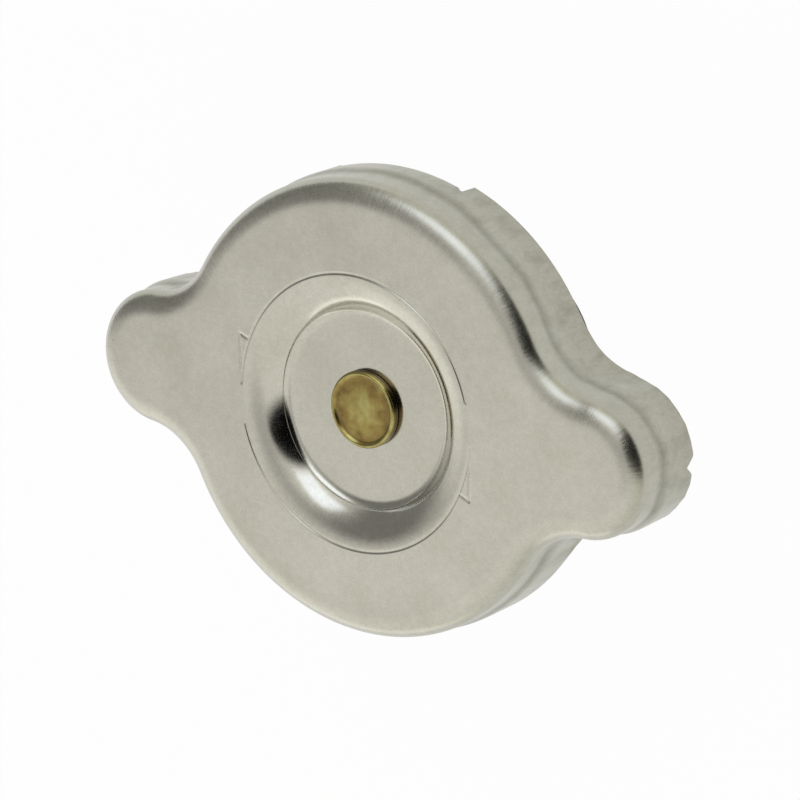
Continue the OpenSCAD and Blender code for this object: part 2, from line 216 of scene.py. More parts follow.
half = plan_half()
columns = half + [(-p, -n, kind, a) for p, n, kind, a in half]
plan_points = np.array([c[0] for c in columns])
plan_normals = np.array([c[1] for c in columns])
plan_turns = np.arctan2(plan_points[:, 1], plan_points[:, 0])
steps_round = np.hypot(*(np.roll(plan_points, -1, axis=0) - plan_points).T)
plan_total = steps_round.sum()
plan_length = np.cumsum(steps_round)
seam = np.argmin(abs(plan_turns - math.radians(SEAM_TURN)))
plan_length = (plan_length - plan_length[seam]) % plan_total
is_ear = np.array([c[2] == "ear" for c in columns], float)
is_hollow = np.array([c[2] == "hollow" for c in columns], float)


def eased(share, width):
    """Share of a kind of column, made to fade over a number of neighbouring columns."""
    window = np.hanning(2 * width + 1)
    ring_of = np.concatenate([share[-width:], share, share[:width]])
    return np.convolve(ring_of, window / window.sum(), "valid")


gathered = eased(np.clip(is_ear + 0.5 * is_hollow, 0, 1), 10)
lipped = eased(is_hollow, 6)
waves = 2 * math.pi * plan_length / PUCKER_LENGTH
ripple = 0.5 - 0.3 * np.sin(waves + 1.2 * np.sin(0.37 * waves)) - 0.2 * np.sin(2.3 * waves + 1.0)


def wall_shift(z):
    """How far each column of the wall stands off its true line: the sheet gathers into shallow puckers
    on the ears, and turns out to a lip at the edge of the hollow curves."""
    low = np.clip((TOP - STEP_LOW - z) / (TOP - STEP_LOW - EDGE), 0, 1)
    lip = LIP_OUT * lipped * soft_step((EDGE + LIP_H - z) / LIP_H)
    return lip - PUCKER * gathered * ripple * low ** 1.5


def edge_level():
    """Level of the wall's edge at each column: notched under the ears' tips, uneven at the puckers."""
    across = 1 - abs(plan_points[:, 1]) / (NOTCH_W / 2)
    mouth = np.where(across > NOTCH_ROUND, across,
                     np.clip(across + NOTCH_ROUND, 0, 1) ** 2 / (4 * NOTCH_ROUND))
    return EDGE + is_ear * NOTCH_H * mouth + 0.5 * PUCKER * gathered * (1 - ripple)


def skirt_rows(thick):
    """Rows of the sheet's side at a depth, from the flat top to the wall's edge, and the row at which
    the slots start."""
    rows = [(-ROLL_IN - ROLL_LEAD, TOP - thick)]
    for a in np.radians(np.linspace(90, 0, 15)):
        lean = np.array([math.cos(a) / ROLL_IN, math.sin(a) / ROLL_DOWN])
        lean *= thick / np.linalg.norm(lean)
        rows.append((ROLL_IN * (math.cos(a) - 1) - lean[0],
                     TOP + ROLL_DOWN * (math.sin(a) - 1) - lean[1]))
    rows.append((-thick, TOP - ROLL_END))
    for t in np.linspace(0, 1, 10):
        rows.append((-thick + STEP_OUT * soft_step(t), TOP - STEP_TOP - t * (STEP_LOW - STEP_TOP)))
    fold_top = LUG_UNDER + SHEET + LUG_FOLD
    rows += [(STEP_OUT - thick, TOP - STEP_END), (STEP_OUT - thick, fold_top)]
    made = []
    for d, z in rows:
        out = plan_points + (d + wall_shift(z))[:, None] * plan_normals
        made.append(np.column_stack([out, np.full(len(out), z)]))
    slot_row = len(made) - 1
    edge = edge_level()
    steps = 12
    for k in range(1, steps + 1):
        last = k == steps
        z = edge if last else fold_top + (edge + EDGE_CHAMFER - fold_top) * k / (steps - 1)
        d = STEP_OUT - thick + wall_shift(z) + (EDGE_CHAMFER * (1 if thick else -1) if last else 0)
        row = np.column_stack([plan_points + d[:, None] * plan_normals, z])
        for i, (p, n, kind, a) in enumerate(columns):
            if kind == "body" and LUG_FROM - 1e-6 <= a <= LUG_TO + 1e-6:
                row[i] = np.append(n * lug_spot(k, steps, thick)[0], lug_spot(k, steps, thick)[1])
        made.append(row)
    return made, slot_row


def lug_spot(k, steps, thick):
    """Radius and level of a step along the lug's section: round the fold, then in to the lug's edge."""
    fold_top = LUG_UNDER + SHEET + LUG_FOLD
    fold_r = BODY_R + STEP_OUT - SHEET - LUG_FOLD
    bend, bend_steps = LUG_FOLD + SHEET - thick, steps - 4
    if k <= bend_steps:
        turn = -math.pi / 2 * k / bend_steps
        return fold_r + bend * math.cos(turn), fold_top + bend * math.sin(turn)
    if k == steps:
        return LUG_IN_R, fold_top - bend + (-EDGE_CHAMFER if thick else EDGE_CHAMFER)
    share = (k - bend_steps) / (steps - 1 - bend_steps)
    return fold_r + (LUG_IN_R + EDGE_CHAMFER - fold_r) * share, fold_top - bend


def arrow_depth(x, y):
    """How deep the two struck turn arrows are at points of the plan: each an arc with half a barb."""
    r, turn = np.hypot(x, y), np.degrees(np.arctan2(y, x)) % 360
    near = np.full(x.shape, 9.0)
    for start, barb, tip in ARROW_TURNS:
        near = np.where((turn >= start) & (turn <= tip), np.minimum(near, abs(r - DISH_R)), near)
        ends = [(DISH_R, barb), (DISH_R + BARB_OUT, barb), (DISH_R, tip)]
        spots = [ray * np.array([math.cos(math.radians(a)), math.sin(math.radians(a))])
                 for ray, a in ends]
        for a, b in zip(spots, spots[1:]):
            along = b - a
            t = np.clip(((x - a[0]) * along[0] + (y - a[1]) * along[1]) / (along @ along), 0, 1)
            near = np.minimum(near, np.hypot(x - a[0] - t * along[0], y - a[1] - t * along[1]))
    return ARROW_DEPTH * soft_step(1.25 * (1 - near / ARROW_W))


def arc(cx, cz, r, start, stop, count):
    """Points of a section along an arc, given its centre, radius and angles."""
    turns = np.radians(np.linspace(start, stop, count))
    return [(cx + r * math.cos(a), cz + r * math.sin(a)) for a in turns]


slope_r = ((DISH_R - CREASE_R) ** 2 + CREASE_DROP ** 2) / (2 * CREASE_DROP)
corner_rise = CORNER_R - FLOOR_DROP + CREASE_DROP
flat_r = CREASE_R - math.sqrt(CORNER_R ** 2 - corner_rise ** 2)
corner_turn = -math.degrees(math.asin(corner_rise / CORNER_R))
slope_turn = 180 - math.degrees(math.acos((DISH_R - CREASE_R) / slope_r))
STEEPEST, BRINK_R, CREASE_ROUND, HOLLOW_R = 66.0, 1.0, 0.4, 11.9


def dish_top():
    """Section of the dish from its floor out to the top face. Just above the crease the die has drawn
    the slope steeper, so that the crease is a crisp line."""
    brink = slope_turn - 3.6
    start = np.array(arc(DISH_R, TOP - slope_r, slope_r, brink, brink, 1)[0])
    facing = np.array([math.cos(math.radians(brink)), math.sin(math.radians(brink))])
    steep = arc(*(start - BRINK_R * facing), BRINK_R, brink, 90 + STEEPEST, 5)
    facing = np.array([math.cos(math.radians(90 + STEEPEST)), math.sin(math.radians(90 + STEEPEST))])
    foot_centre = np.array(steep[-1]) + CREASE_ROUND * facing
    foot = arc(*foot_centre, CREASE_ROUND, STEEPEST - 90, corner_turn, 6)
    run, rise = foot[-1][0] - HOLLOW_R, foot[-1][1] - FLOOR
    bend = (run ** 2 + rise ** 2) / (2 * rise)
    hollow = arc(HOLLOW_R, FLOOR + bend, bend, -90, math.degrees(math.asin(run / bend)) - 90, 10)
    slope = arc(DISH_R, TOP - slope_r, slope_r, brink, 94.6, 13)
    groove = np.concatenate([np.arange(DISH_R - 0.42, DISH_R + 0.3, 0.06),
                             np.arange(DISH_R + 0.3, DISH_R + 2.1, 0.12)])
    drop = slope_r - np.sqrt(slope_r ** 2 - np.clip(DISH_R - groove, 0, None) ** 2)
    return hollow[:-1] + foot[::-1] + steep[-2:0:-1] + slope + list(zip(groove, TOP - drop))


points, faces, flow = [], [], []


def ring(new_points, along=None, down=DISH_FLOW):
    """Adds points with their places on the drawn sheet, and gives their indices."""
    first = len(points)
    points.extend(tuple(p) for p in new_points)
    flow.extend(zip(np.zeros(len(new_points)) if along is None else along,
                    np.full(len(new_points), down)))
    return list(range(first, len(points)))


def level_rings(section, count, arrows=False):
    """Rings round the axis through a section, with the arrows struck in if they are asked for."""
    turns = np.linspace(-math.pi, math.pi, count, endpoint=False)
    made = []
    for r, z in section:
        place = np.column_stack([r * np.cos(turns), r * np.sin(turns), np.full(count, z)])
        if arrows:
            place[:, 2] -= arrow_depth(place[:, 0], place[:, 1])
        made.append(ring(place))
    return made, turns


def joined(rings):
    """Adds the quads between each ring and the next."""
    for a, b in zip(rings, rings[1:]):
        faces.extend(strip(a, b))


def flat_to_wall(inner_ring, turns, inner_r, z, first_row, shares):
    """Flat top or underside from the last dish ring to the first row of the wall."""
    inner = np.column_stack([inner_r * np.cos(plan_turns), inner_r * np.sin(plan_turns),
                             np.full(len(columns), z)])
    flats = [ring(inner * (1 - t) + first_row * t, plan_length, FACE_FLOW * (1 - t)) for t in shares]
    order = np.argsort(plan_turns)
    faces.extend(zip_rings(inner_ring, turns, [flats[0][i] for i in order], plan_turns[order]))
    joined(flats)
    return flats[-1]


def skirt_faces(outer, inner, slot_row):
    """Both sides of the wall without the slots, and the sheet's edge all the way round what is left."""
    count, last = len(columns), len(outer) - 1
    slots = set()
    for i, (p, n, kind, a) in enumerate(columns):
        before = LUG_FROM - SLOT_ANGLE - 1e-6 <= a < LUG_FROM - 1e-6
        after = LUG_TO - 1e-6 <= a < LUG_TO + SLOT_ANGLE - 1e-6
        if kind == "body" and (before or after):
            slots.add(i)
    uses = {}
    for r in range(last):
        for c in range(count):
            if r >= slot_row and c in slots:
                continue
            n = (c + 1) % count
            corners = [(r, c), (r, n), (r + 1, n), (r + 1, c)]
            faces.append([outer[i][j] for i, j in corners])
            faces.append([inner[i][j] for i, j in corners][::-1])
            for a, b in zip(corners, corners[1:] + corners[:1]):
                uses.setdefault(frozenset((a, b)), []).append((a, b))
    for edge in uses.values():
        if len(edge) == 1 and not (edge[0][0][0] == 0 and edge[0][1][0] == 0):
            (ar, ac), (br, bc) = edge[0]
            faces.append([outer[br][bc], outer[ar][ac], inner[ar][ac], inner[br][bc]])


# Tin plate on drawn steel: a warm, satin metal. The tin's crystals give a faint mottle about 1 mm
# across and a grain of 0.3 mm. The draw over the rolled edge leaves lines about 0.4 mm apart, and
# worn strokes down the wall. Down the wall the colour also carries painted shade: the wall is darker
# than the face, as a painted reflection of the shaded floor, with a dark line at the step and darker
# still towards the edge.
tin, tree, shader, mm = finish_named("tin_plated_steel", 1.0)
mottle = add(tree, "ShaderNodeTexNoise",
             {"Vector": mm, "Scale": 1 / 0.9, "Detail": 6.0, "Roughness": 0.6})
cloud = add(tree, "ShaderNodeTexNoise", {"Vector": mm, "Scale": 1 / 8, "Detail": 3.0})
grain = add(tree, "ShaderNodeTexNoise", {"Vector": mm, "Scale": 1 / 0.3, "Detail": 3.0})
tone = add(tree, "ShaderNodeMath", {0: mottle, 1: cloud}, operation="ADD")
tone = add(tree, "ShaderNodeMath", {0: tone, 1: grain}, operation="ADD")
third = add(tree, "ShaderNodeMath", {0: tone, 1: 1 / 3}, operation="MULTIPLY")
shade = add(tree, "ShaderNodeValToRGB", {"Fac": third},
            stops=[(0.36, "#c1bfb6"), (0.5, "#cbc9c2"), (0.64, "#d5d3cd")])
sheet = add(tree, "ShaderNodeUVMap", uv_map="drawn_sheet")
down = add(tree, "ShaderNodeSeparateXYZ", {"Vector": sheet}).outputs["Y"]
rolled = add(tree, "ShaderNodeMapRange", {"Value": down, "From Min": -2.0, "From Max": 1.5})
wander = add(tree, "ShaderNodeMath", {0: cloud, 1: 2.5, 2: down}, operation="MULTIPLY_ADD")
on_wall = add(tree, "ShaderNodeMapRange", {"Value": wander, "From Min": 3.2, "From Max": 15.8})
pulled = add(tree, "ShaderNodeMapping", {"Vector": sheet, "Scale": (1 / 0.4, 1 / 6, 1.0)})
draw_lines = add(tree, "ShaderNodeTexNoise", {"Vector": pulled, "Scale": 1.0, "Detail": 3.0},
                 noise_dimensions="2D")
rubbed = add(tree, "ShaderNodeMapping", {"Vector": sheet, "Scale": (1 / 2.5, 1 / 4.0, 1.0)})
strokes = add(tree, "ShaderNodeTexNoise",
              {"Vector": rubbed, "Scale": 1.0, "Detail": 6.0, "Roughness": 0.65},
              noise_dimensions="2D")
# Painted shade down the wall: darker than the face as a painted reflection of the shaded floor, a dark
# line at the step, and darker still towards the edge.
painted_wall_shade = add(tree, "ShaderNodeValToRGB", {"Fac": on_wall}, stops=[
    (0.0, "#ffffff"), (0.16, "#e2e3da"), (0.38, "#e0e1d8"), (0.45, "#c2c3ba"), (0.53, "#dfe0d7"),
    (0.7, "#dadbd1"), (1.0, "#d1d2c7")])
worn = add(tree, "ShaderNodeMapRange",
           {"Value": strokes, "From Min": 0.45, "From Max": 0.75, "To Max": 0.6})
worn_wall = add(tree, "ShaderNodeMath", {0: worn, 1: on_wall}, operation="MULTIPLY")
tint = add(tree, "ShaderNodeMix", {0: worn_wall, 6: shade, 7: colour("#8f8d80")},
           data_type="RGBA").outputs[2]
# Multiplies the painted wall shade onto the tin's colour.
tint = add(tree, "ShaderNodeMix", {0: 1.0, 6: tint, 7: painted_wall_shade}, data_type="RGBA",
           blend_type="MULTIPLY").outputs[2]
gloss = add(tree, "ShaderNodeMapRange",
            {"Value": third, "From Min": 0.36, "From Max": 0.64, "To Min": 0.11, "To Max": 0.18})
gloss = add(tree, "ShaderNodeMath", {0: rolled, 1: 0.14, 2: gloss}, operation="MULTIPLY_ADD")
line_height = add(tree, "ShaderNodeMath", {0: draw_lines, 1: rolled}, operation="MULTIPLY")
fine = add(tree, "ShaderNodeMath", {0: grain, 1: 0.003}, operation="MULTIPLY")
height = add(tree, "ShaderNodeMath", {0: line_height, 1: 0.012, 2: fine}, operation="MULTIPLY_ADD")
surface(tree, shader, tint, gloss, height)

rows_outer, slot_row = skirt_rows(0.0)
rows_inner, _ = skirt_rows(SHEET)
floor_rings, floor_turns = level_rings([(r, FLOOR) for r in (HOLE_R, 5.4, 8.0, 10.4)], FLOOR_COLUMNS)
dish_rings, dish_turns = level_rings([(flat_r - 0.5, FLOOR)] + dish_top(), DISH_COLUMNS, True)
joined(floor_rings)
faces.extend(zip_rings(floor_rings[-1], floor_turns, dish_rings[0], dish_turns))
joined(dish_rings)
flat_top = flat_to_wall(dish_rings[-1], dish_turns, FLAT_TOP_R, TOP, rows_outer[0], (0, 0.35, 0.7))

under = [(r, FLOOR - SHEET) for r in (HOLE_R, 6.0, 9.0)]
under += arc(flat_r, FLOOR + CORNER_R, CORNER_R + SHEET, -90, corner_turn, 6)
under += arc(CREASE_R, TOP - CREASE_DROP, SHEET, corner_turn, slope_turn - 180, 3)[1:]
under += arc(DISH_R, TOP - slope_r, slope_r - SHEET, slope_turn, 90, 12)[1:]
under_rings, under_turns = level_rings(under, FLOOR_COLUMNS)
joined(under_rings)
flat_under = flat_to_wall(under_rings[-1], under_turns, FLAT_UNDER_R, TOP - SHEET, rows_inner[0],
                          (0, 0.5))

drops = np.cumsum([0] + [np.linalg.norm(b[0] - a[0]) for a, b in zip(rows_outer, rows_outer[1:])])
outer_rings = [ring(row, plan_length, drop) for row, drop in zip(rows_outer, drops)]
inner_rings = [ring(row, plan_length, drop) for row, drop in zip(rows_inner, drops)]
faces.extend(strip(flat_top, outer_rings[0]))
faces.extend(strip(flat_under, inner_rings[0]))
faces.extend(strip(floor_rings[0], under_rings[0]))
skirt_faces(outer_rings, inner_rings, slot_row)
crown = mesh_piece("crown_sheet", points, faces, tin, 28, flow, plan_total)
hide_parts("shell")
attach(crown, "crown")


# Rivet: turned brass, the pivot of the cap. Its shoulder lets the crown turn, its tail is upset over
# the spring seat and hanger, and its head has a round bead along its edge and a low dome inside it.
def rounded(corners, steps=6):
    """Points of a section with each corner (radius, height, fillet) rounded by its fillet."""
    made = []
    for i, corner in enumerate(corners):
        here = np.array(corner[:2], float)
        fillet = corner[2] if len(corner) > 2 else 0
        if not fillet:
            made.append(here)
            continue
        back = np.array(corners[i - 1][:2], float) - here
        ahead = np.array(corners[(i + 1) % len(corners)][:2], float) - here
        back, ahead = back / np.linalg.norm(back), ahead / np.linalg.norm(ahead)
        half_angle = math.acos(np.clip(back @ ahead, -1, 1)) / 2
        reach = fillet / math.tan(half_angle)
        middle = (back + ahead) / np.linalg.norm(back + ahead) * fillet / math.sin(half_angle)
        first, last = here + back * reach - (here + middle), here + ahead * reach - (here + middle)
        start = math.atan2(first[1], first[0])
        turn = (math.atan2(last[1], last[0]) - start + math.pi) % (2 * math.pi) - math.pi
        for t in np.linspace(0, 1, steps):
            a = start + turn * t
            made.append(here + middle + fillet * np.array([math.cos(a), math.sin(a)]))
    return made


def turned(name, section, material, count=144, sharp=40):
    """Body turned about the cap's axis; a section from pole to pole is solid, any other is a ring."""
    spots, skin, rings = [], [], []
    solid = abs(section[0][0]) < 1e-9 and abs(section[-1][0]) < 1e-9
    for r, z in section:
        if abs(r) < 1e-9:
            spots.append((0, 0, z))
            rings.append([len(spots) - 1])
            continue
        first = len(spots)
        for i in range(count):
            a = 2 * math.pi * i / count
            spots.append((r * math.cos(a), r * math.sin(a), z))
        rings.append(list(range(first, len(spots))))
    pairs = list(zip(rings, rings[1:])) + ([] if solid else [(rings[-1], rings[0])])
    for a, b in pairs:
        if len(a) == 1 or len(b) == 1:
            pole, edge = (a[0], b) if len(a) == 1 else (b[0], a)
            skin += [(pole, edge[i], edge[(i + 1) % count]) for i in range(count)]
        else:
            skin += strip(a, b)
    return mesh_piece(name, spots, skin, material, sharp)


HEAD_R, HEAD_H, BEAD_R, VALLEY_R, DOME_H = 5.0, 1.05, 0.35, 4.1, 0.2
PIVOT_R, SHANK_R, TAIL_R, TAIL_H = 3.4, 2.4, 4.0, 1.0
_, tail_under, head_top = extent("rivet")
head_under = head_top - HEAD_H
shank_top = extent("diaphragm")[2]
bead_z, face_r = head_top - BEAD_R, HEAD_R - BEAD_R

# Yellow brass that has dulled: rubbed to olive in the middle, stained brown in patches about 1.5 mm
# across towards the bead, and darker brown on its side below the bead.
dull_brass, tree, shader, mm = finish_named("tarnished_brass", 1.0)
flat = add(tree, "ShaderNodeMapping", {"Vector": mm, "Scale": (1.0, 1.0, 0.0)})
out = add(tree, "ShaderNodeVectorMath", {0: flat}, operation="LENGTH")
middle_rub = add(tree, "ShaderNodeMapRange",
                 {"Value": out.outputs["Value"], "From Min": 0.3, "From Max": VALLEY_R,
                  "To Min": 0.42, "To Max": 0.2})
bead_rub = add(tree, "ShaderNodeMapRange",
               {"Value": out.outputs["Value"], "From Min": VALLEY_R, "From Max": face_r,
                "To Max": 0.22})
stain = add(tree, "ShaderNodeTexNoise",
            {"Vector": mm, "Scale": 1 / 1.5, "Detail": 6.0, "Roughness": 0.55})
wear = add(tree, "ShaderNodeMath", {0: stain, 1: 0.6, 2: middle_rub}, operation="MULTIPLY_ADD")
wear = add(tree, "ShaderNodeMath", {0: wear, 1: bead_rub}, operation="ADD")
shade = add(tree, "ShaderNodeValToRGB", {"Fac": wear},
            stops=[(0.4, "#73633d"), (0.52, "#957e4d"), (0.64, "#a5965c"), (0.8, "#b7b077")])
level = add(tree, "ShaderNodeSeparateXYZ", {"Vector": mm})
# Darker brown below the bead, on the side of the head.
side = add(tree, "ShaderNodeMapRange",
           {"Value": level.outputs["Z"], "From Min": bead_z - 0.2, "From Max": bead_z + 0.12})
shade = add(tree, "ShaderNodeMix", {0: side, 6: colour("#6b5a3c"), 7: shade},
            data_type="RGBA").outputs[2]
gloss = add(tree, "ShaderNodeMapRange",
            {"Value": wear, "From Min": 0.4, "From Max": 0.8, "To Min": 0.3, "To Max": 0.2})
pits = add(tree, "ShaderNodeTexNoise", {"Vector": mm, "Scale": 1 / 0.35, "Detail": 3.0})
height = add(tree, "ShaderNodeMath", {0: pits, 1: 0.006}, operation="MULTIPLY")
surface(tree, shader, shade, gloss, height)

dome_r = (face_r ** 2 + DOME_H ** 2) / (2 * DOME_H)
dome = [(r, bead_z + DOME_H - dome_r + math.sqrt(dome_r ** 2 - r ** 2))
        for r in np.linspace(0, VALLEY_R, 10)]
valley = dome[-1][1]
dome += [(VALLEY_R + (face_r - VALLEY_R) * t, valley + (head_top - valley) * soft_step(t))
         for t in np.linspace(0, 1, 9)[1:-1]]
bead = arc(face_r, bead_z, BEAD_R, 90, 0, 9)
below = rounded([
    (HEAD_R, bead_z), (HEAD_R, head_under, 0.1), (PIVOT_R, head_under), (PIVOT_R, shank_top),
    (SHANK_R, shank_top), (SHANK_R, tail_under + TAIL_H), (TAIL_R, tail_under + TAIL_H, 0.1),
    (TAIL_R, tail_under, 0.5), (0, tail_under),
])
rivet = turned("brass_rivet", dome + bead + below[1:], dull_brass, 160)
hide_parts("rivet")
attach(rivet, "carrier")

# Diaphragm: a thin disc of hardened stainless strip, pressed to a shallow cone, clamped by the rivet.
# Its flat rim rides on the rim of the filler neck and seals it.
STRIP_T, CONE_IN_R, CONE_OUT_R = 0.5, 13.7, 21.5
strip_r, neck, strip_top = extent("diaphragm")
middle = strip_top - STRIP_T

# Rolled spring strip, polished in rings about 0.2 mm apart: a cool grey metal with a soft haze.
strip_steel, tree, shader, mm = finish_named("stainless_spring_strip", 1.0)
out = add(tree, "ShaderNodeVectorMath", {0: mm}, operation="LENGTH")
rings = add(tree, "ShaderNodeTexNoise", {"W": out.outputs["Value"], "Scale": 1 / 0.2, "Detail": 3.0},
            noise_dimensions="1D")
haze = add(tree, "ShaderNodeTexNoise", {"Vector": mm, "Scale": 1 / 3, "Detail": 4.0})
shade = add(tree, "ShaderNodeValToRGB", {"Fac": haze}, stops=[(0.3, "#a9aaa9"), (0.7, "#c4c5c4")])
gloss = add(tree, "ShaderNodeMapRange", {"Value": rings, "To Min": 0.18, "To Max": 0.34})
height = add(tree, "ShaderNodeMath", {0: rings, 1: 0.004}, operation="MULTIPLY")
surface(tree, shader, shade, gloss, height)

diaphragm = turned("sprung_diaphragm", rounded([
    (SHANK_R, middle), (CONE_IN_R, middle, 1.5), (CONE_OUT_R, neck, 1.5), (strip_r, neck, 0.1),
    (strip_r, neck + STRIP_T, 0.1), (CONE_OUT_R, neck + STRIP_T, 2.0), (CONE_IN_R, strip_top, 1.0),
    (SHANK_R, strip_top),
]), strip_steel, 192)
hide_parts("diaphragm")
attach(diaphragm, "carrier")

# Spring seat, hanger and turret: pressed and drawn from thin sheet and zinc plated. The seat holds the
# spring's top turn, the hanger hangs from the rivet, and its brim catches the turret of the valve.
BEND_R, SEAT_T, TUBE_T, HANGER_R, TURRET_R, TURRET_LIP_R = 0.3, 0.8, 0.7, 6.5, 9.3, 6.9

# Bright zinc: a pale grey metal with a bloom in patches of 2 mm, and drawing lines 0.3 mm apart.
zinc, tree, shader, mm = finish_named("zinc_plated_steel", 1.0)
bloom = add(tree, "ShaderNodeTexNoise", {"Vector": mm, "Scale": 1 / 2, "Detail": 5.0})
drawn = add(tree, "ShaderNodeMapping", {"Vector": mm, "Scale": (1.0, 1.0, 0.06)})
lines = add(tree, "ShaderNodeTexNoise", {"Vector": drawn, "Scale": 1 / 0.3, "Detail": 3.0})
shade = add(tree, "ShaderNodeValToRGB", {"Fac": bloom},
            stops=[(0.3, "#a6a79f"), (0.55, "#bcbcb3"), (0.75, "#c9c8bd")])
gloss = add(tree, "ShaderNodeMapRange", {"Value": lines, "To Min": 0.24, "To Max": 0.44})
height = add(tree, "ShaderNodeMath", {0: lines, 1: 0.006}, operation="MULTIPLY")
surface(tree, shader, shade, gloss, height)

seat_r, seat_low, seat_top = extent("spring_seat")
seat_under = seat_top - SEAT_T
seat = turned("spring_cup", rounded([
    (SHANK_R, seat_under), (seat_r - SEAT_T, seat_under, BEND_R), (seat_r - SEAT_T, seat_low, 0.1),
    (seat_r, seat_low, 0.1), (seat_r, seat_top, BEND_R + SEAT_T), (SHANK_R, seat_top),
]), zinc)
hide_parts("spring_seat")
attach(seat, "carrier")

brim_r, brim_low, hanger_top = extent("hanger")
hanger = turned("hanger_tube", rounded([
    (SHANK_R, hanger_top - TUBE_T), (HANGER_R - TUBE_T, hanger_top - TUBE_T, BEND_R),
    (HANGER_R - TUBE_T, brim_low, BEND_R + TUBE_T), (brim_r, brim_low, 0.1),
    (brim_r, brim_low + TUBE_T, 0.1), (HANGER_R, brim_low + TUBE_T, BEND_R),
    (HANGER_R, hanger_top, BEND_R + TUBE_T), (SHANK_R, hanger_top),
]), zinc)
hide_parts("hanger")
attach(hanger, "carrier")

flange_r, turret_low, turret_top = extent("valve_turret")
flange_top = turret_low + TUBE_T
turret = turned("turret_tube", rounded([
    (TURRET_R - TUBE_T, turret_low, BEND_R + TUBE_T), (flange_r, turret_low, 0.1),
    (flange_r, flange_top, 0.1), (TURRET_R, flange_top, BEND_R),
    (TURRET_R, turret_top, BEND_R + TUBE_T), (TURRET_LIP_R, turret_top, 0.15),
    (TURRET_LIP_R, turret_top - TUBE_T, 0.15), (TURRET_R - TUBE_T, turret_top - TUBE_T, BEND_R),
]), zinc)
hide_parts("valve_turret")
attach(turret, "pressure_valve")


# Pressure spring: oil-tempered steel wire, coiled with closed ends. Its bottom turn stands on the
# turret's flange and its top turn sits in the spring seat, so it pushes the gasket onto its seat.
def sized_tree(name, sizes):
    """Empty Geometry Nodes tree with named inputs, and the identifier of each."""
    tree = bpy.data.node_groups.new(name, "GeometryNodeTree")
    tree.interface.new_socket("Geometry", in_out="INPUT", socket_type="NodeSocketGeometry")
    sockets = {}
    for label, kind in sizes:
        socket = tree.interface.new_socket(label, in_out="INPUT", socket_type="NodeSocket" + kind)
        sockets[label] = socket.identifier
    tree.interface.new_socket("Geometry", in_out="OUTPUT", socket_type="NodeSocketGeometry")
    return tree, sockets, add(tree, "NodeGroupInput").outputs


def coil_tree():
    """Geometry Nodes tree of a coil with closed ends, from its sizes in metres."""
    tree, sockets, given = sized_tree("wire_coil", (
        ("Radius", "Float"), ("Wire", "Float"), ("Height", "Float"), ("Foot", "Float"),
        ("Turns", "Float"), ("Points", "Int"), ("Sides", "Int"), ("Finish", "Material"),
    ))
    wire = add(tree, "GeometryNodeCurvePrimitiveLine")
    spaced = add(tree, "GeometryNodeResampleCurve", {"Curve": wire, "Count": given["Points"]})
    along = add(tree, "GeometryNodeSplineParameter")
    t = add(tree, "ShaderNodeMath", {0: along, 1: given["Turns"]}, operation="MULTIPLY")
    turn = add(tree, "ShaderNodeMath", {0: t, 1: 2 * math.pi}, operation="MULTIPLY")
    closed = add(tree, "ShaderNodeMath", {0: given["Wire"], 1: 1.04}, operation="MULTIPLY")
    last = add(tree, "ShaderNodeMath", {0: given["Turns"], 1: 1.0}, operation="SUBTRACT")
    flat_end = add(tree, "ShaderNodeMath", {0: given["Turns"], 1: 0.55}, operation="SUBTRACT")
    rise = add(tree, "ShaderNodeMath", {0: given["Height"], 1: given["Wire"]}, operation="SUBTRACT")
    free = add(tree, "ShaderNodeMath", {0: closed, 1: -2.0, 2: rise}, operation="MULTIPLY_ADD")
    up = add(tree, "ShaderNodeMath", {0: given["Wire"], 1: 0.5, 2: given["Foot"]},
             operation="MULTIPLY_ADD")
    for start, stop, height in ((0.55, 1.0, closed), (1.0, last, free), (last, flat_end, closed)):
        part = add(tree, "ShaderNodeMapRange",
                   {"Value": t, "From Min": start, "From Max": stop, "To Max": height})
        up = add(tree, "ShaderNodeMath", {0: up, 1: part}, operation="ADD")
    across = add(tree, "ShaderNodeMath", {0: turn}, operation="COSINE")
    ahead = add(tree, "ShaderNodeMath", {0: turn}, operation="SINE")
    x = add(tree, "ShaderNodeMath", {0: given["Radius"], 1: across}, operation="MULTIPLY")
    y = add(tree, "ShaderNodeMath", {0: given["Radius"], 1: ahead}, operation="MULTIPLY")
    place = add(tree, "ShaderNodeCombineXYZ", {"X": x, "Y": y, "Z": up})
    wound = add(tree, "GeometryNodeSetPosition", {"Geometry": spaced, "Position": place})
    upright = add(tree, "GeometryNodeSetCurveNormal", {"Curve": wound}, mode="Z_UP")
    wire_r = add(tree, "ShaderNodeMath", {0: given["Wire"], 1: 0.5}, operation="MULTIPLY")
    section = add(tree, "GeometryNodeCurvePrimitiveCircle",
                  {"Resolution": given["Sides"], "Radius": wire_r})
    solid = add(tree, "GeometryNodeCurveToMesh",
                {"Curve": upright, "Profile Curve": section, "Fill Caps": True})
    single = add(tree, "GeometryNodeRealizeInstances", {"Geometry": solid})
    coated = add(tree, "GeometryNodeSetMaterial", {"Geometry": single, "Material": given["Finish"]})
    add(tree, "NodeGroupOutput", {"Geometry": coated})
    return tree, sockets


